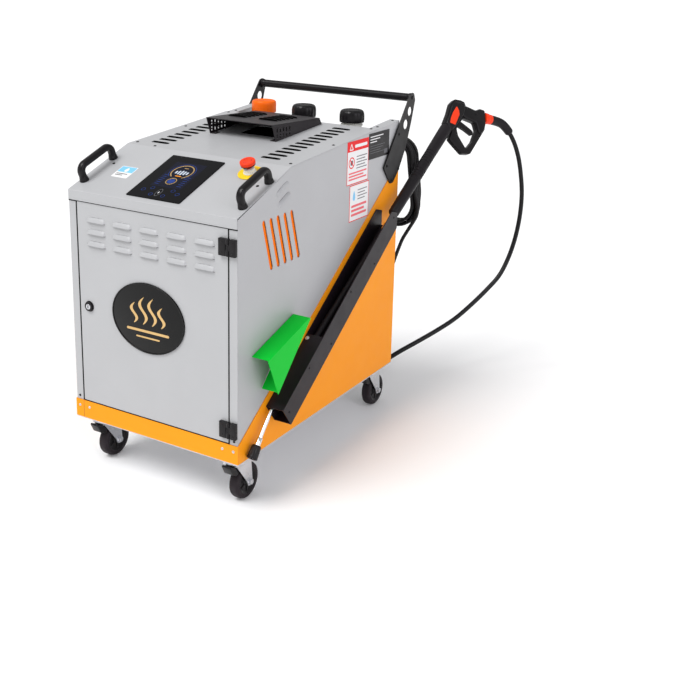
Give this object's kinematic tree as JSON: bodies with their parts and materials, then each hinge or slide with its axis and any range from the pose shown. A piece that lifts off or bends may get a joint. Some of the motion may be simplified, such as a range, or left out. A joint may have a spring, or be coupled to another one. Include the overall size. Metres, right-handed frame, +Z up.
{
  "type": "steam cleaner",
  "caption": "Wheeled steam cleaner: sheet-metal cabinet with door, touch screen, filler caps, push handle, swivel castors, stowed lance with hose, and a hung mains cable.",
  "frame": {"origin": "middle of the machine's footprint with its lance, on the floor under the wheels, measured without the free cords", "axes": "-Y faces the door, +X is the lance side, +Z is up"},
  "size_m": [0.7775, 1.44, 1.0243],
  "materials": {
    "grey_paint": "light grey powder coat, satin",
    "orange_paint": "orange powder coat, satin",
    "black_paint": "black powder coat, satin",
    "green_paint": "green powder coat, satin",
    "zinc": "zinc plated",
    "steel": "polished stainless steel",
    "brass": "machined brass",
    "black_plastic": "black moulded plastic",
    "white_plastic": "white moulded plastic",
    "rubber": "black rubber",
    "red_plastic": "red moulded plastic",
    "yellow_plastic": "yellow moulded plastic",
    "orange_plastic": "orange moulded plastic",
    "screen": "black glass front of the touch screen"
  },
  "bodies": {
    "machine": {"base_tray": "zinc", "pump_set": "zinc", "front_skirt": "orange_paint", "side_plate_right": "orange_paint", "side_plate_left": "orange_paint", "side_panel_right": "grey_paint", "side_panel_left": "grey_paint", "rear_panel": "grey_paint", "deck_panel": "grey_paint", "control_panel": "grey_paint", "front_frame": "grey_paint", "door_hinge_upper": "black_paint", "door_hinge_lower": "black_paint", "handle_plate_left": "black_paint", "handle_plate_right": "black_paint", "handle_bar": "black_paint", "vent_hood": "black_paint", "lance_holder": "black_paint", "hose_pocket": "green_paint", "display": "screen", "e_stop_base": "yellow_plastic", "hose_collar": "red_plastic", "grab_handle_left": "black_plastic", "grab_handle_right": "black_plastic", "lance_nozzle": "black_plastic", "lance_grip": "black_plastic", "gun_body": "black_plastic", "cable_gland": "black_plastic", "cable_plug": "black_plastic", "tank_left": "white_plastic", "tank_middle": "white_plastic", "tank_right": "white_plastic", "hose_boot": "rubber", "hose_run": "rubber", "hose_coil": "rubber", "hose_tail": "rubber", "cable_lead": "rubber", "cable_hank": "rubber", "lance_tube": "steel", "boiler": "steel", "outlet_fitting": "brass"},
    "door": {"door_panel": "grey_paint"},
    "door_lock": {"door_lock": "zinc"},
    "e_stop_button": {"e_stop_button": "red_plastic"},
    "gun_trigger": {"gun_trigger": "black_plastic"},
    "filler_cap_left": {"filler_cap_left": "orange_plastic"},
    "filler_cap_middle": {"filler_cap_middle": "black_plastic"},
    "filler_cap_right": {"filler_cap_right": "black_plastic"},
    "castor_fork_front_left": {"castor_fork_front_left": "zinc"},
    "castor_fork_front_right": {"castor_fork_front_right": "zinc"},
    "castor_fork_rear_left": {"castor_fork_rear_left": "zinc"},
    "castor_fork_rear_right": {"castor_fork_rear_right": "zinc"},
    "castor_wheel_front_left": {"castor_wheel_front_left": "rubber"},
    "castor_wheel_front_right": {"castor_wheel_front_right": "rubber"},
    "castor_wheel_rear_left": {"castor_wheel_rear_left": "rubber"},
    "castor_wheel_rear_right": {"castor_wheel_rear_right": "rubber"},
    "castor_pedal_front_left": {"castor_pedal_front_left": "black_plastic"},
    "castor_pedal_front_right": {"castor_pedal_front_right": "black_plastic"},
    "castor_pedal_rear_left": {"castor_pedal_rear_left": "black_plastic"},
    "castor_pedal_rear_right": {"castor_pedal_rear_right": "black_plastic"}
  },
  "joints": [
    {"name": "door_hinge", "type": "hinge", "parent": "machine", "child": "door", "pos_m": [0.1954, -0.66594, 0.49], "axis": [0, 0, 1], "range_deg": [0, 110]},
    {"name": "door_lock_turn", "type": "hinge", "parent": "door", "child": "door_lock", "pos_m": [-0.2766, -0.66044, 0.485], "axis": [0, -1, 0], "range_deg": [0, 90]},
    {"name": "e_stop_press", "type": "slide", "parent": "machine", "child": "e_stop_button", "axis": [0, 0.3558, -0.9345], "range_m": [0, 0.004]},
    {"name": "gun_trigger_pull", "type": "hinge", "parent": "machine", "child": "gun_trigger", "pos_m": [0.27439, 0.5057, 0.90394], "axis": [0.8557, -0.2952, 0.4251], "range_deg": [0, 10], "stiffness_Nm_per_rad": 1, "springref_deg": -5.73},
    {"name": "filler_cap_left_turn", "type": "hinge", "parent": "machine", "child": "filler_cap_left", "pos_m": [-0.2216, 0.09456, 0.94], "axis": [0, 0, 1], "range_deg": [0, 90]},
    {"name": "filler_cap_middle_turn", "type": "hinge", "parent": "machine", "child": "filler_cap_middle", "pos_m": [-0.0696, 0.09456, 0.94], "axis": [0, 0, 1], "range_deg": [0, 90]},
    {"name": "filler_cap_right_turn", "type": "hinge", "parent": "machine", "child": "filler_cap_right", "pos_m": [0.1044, 0.09456, 0.94], "axis": [0, 0, 1], "range_deg": [0, 90]},
    {"name": "swivel_front_left", "type": "hinge", "parent": "machine", "child": "castor_fork_front_left", "pos_m": [-0.2906, -0.60544, 0.13], "axis": [0, 0, 1], "continuous": true},
    {"name": "roll_front_left", "type": "hinge", "parent": "castor_fork_front_left", "child": "castor_wheel_front_left", "pos_m": [-0.2906, -0.56744, 0.051], "axis": [1, 0, 0], "continuous": true},
    {"name": "brake_front_left", "type": "hinge", "parent": "castor_fork_front_left", "child": "castor_pedal_front_left", "pos_m": [-0.2906, -0.59344, 0.109], "axis": [1, 0, 0], "range_deg": [0, 4]},
    {"name": "swivel_front_right", "type": "hinge", "parent": "machine", "child": "castor_fork_front_right", "pos_m": [0.1734, -0.60544, 0.13], "axis": [0, 0, 1], "continuous": true},
    {"name": "roll_front_right", "type": "hinge", "parent": "castor_fork_front_right", "child": "castor_wheel_front_right", "pos_m": [0.1734, -0.56744, 0.051], "axis": [1, 0, 0], "continuous": true},
    {"name": "brake_front_right", "type": "hinge", "parent": "castor_fork_front_right", "child": "castor_pedal_front_right", "pos_m": [0.1734, -0.59344, 0.109], "axis": [1, 0, 0], "range_deg": [0, 4]},
    {"name": "swivel_rear_left", "type": "hinge", "parent": "machine", "child": "castor_fork_rear_left", "pos_m": [-0.2906, 0.12156, 0.13], "axis": [0, 0, 1], "continuous": true},
    {"name": "roll_rear_left", "type": "hinge", "parent": "castor_fork_rear_left", "child": "castor_wheel_rear_left", "pos_m": [-0.2906, 0.15956, 0.051], "axis": [1, 0, 0], "continuous": true},
    {"name": "brake_rear_left", "type": "hinge", "parent": "castor_fork_rear_left", "child": "castor_pedal_rear_left", "pos_m": [-0.2906, 0.13356, 0.109], "axis": [1, 0, 0], "range_deg": [0, 4]},
    {"name": "swivel_rear_right", "type": "hinge", "parent": "machine", "child": "castor_fork_rear_right", "pos_m": [0.1734, 0.12156, 0.13], "axis": [0, 0, 1], "continuous": true},
    {"name": "roll_rear_right", "type": "hinge", "parent": "castor_fork_rear_right", "child": "castor_wheel_rear_right", "pos_m": [0.1734, 0.15956, 0.051], "axis": [1, 0, 0], "continuous": true},
    {"name": "brake_rear_right", "type": "hinge", "parent": "castor_fork_rear_right", "child": "castor_pedal_rear_right", "pos_m": [0.1734, 0.13356, 0.109], "axis": [1, 0, 0], "range_deg": [0, 4]}
  ]
}
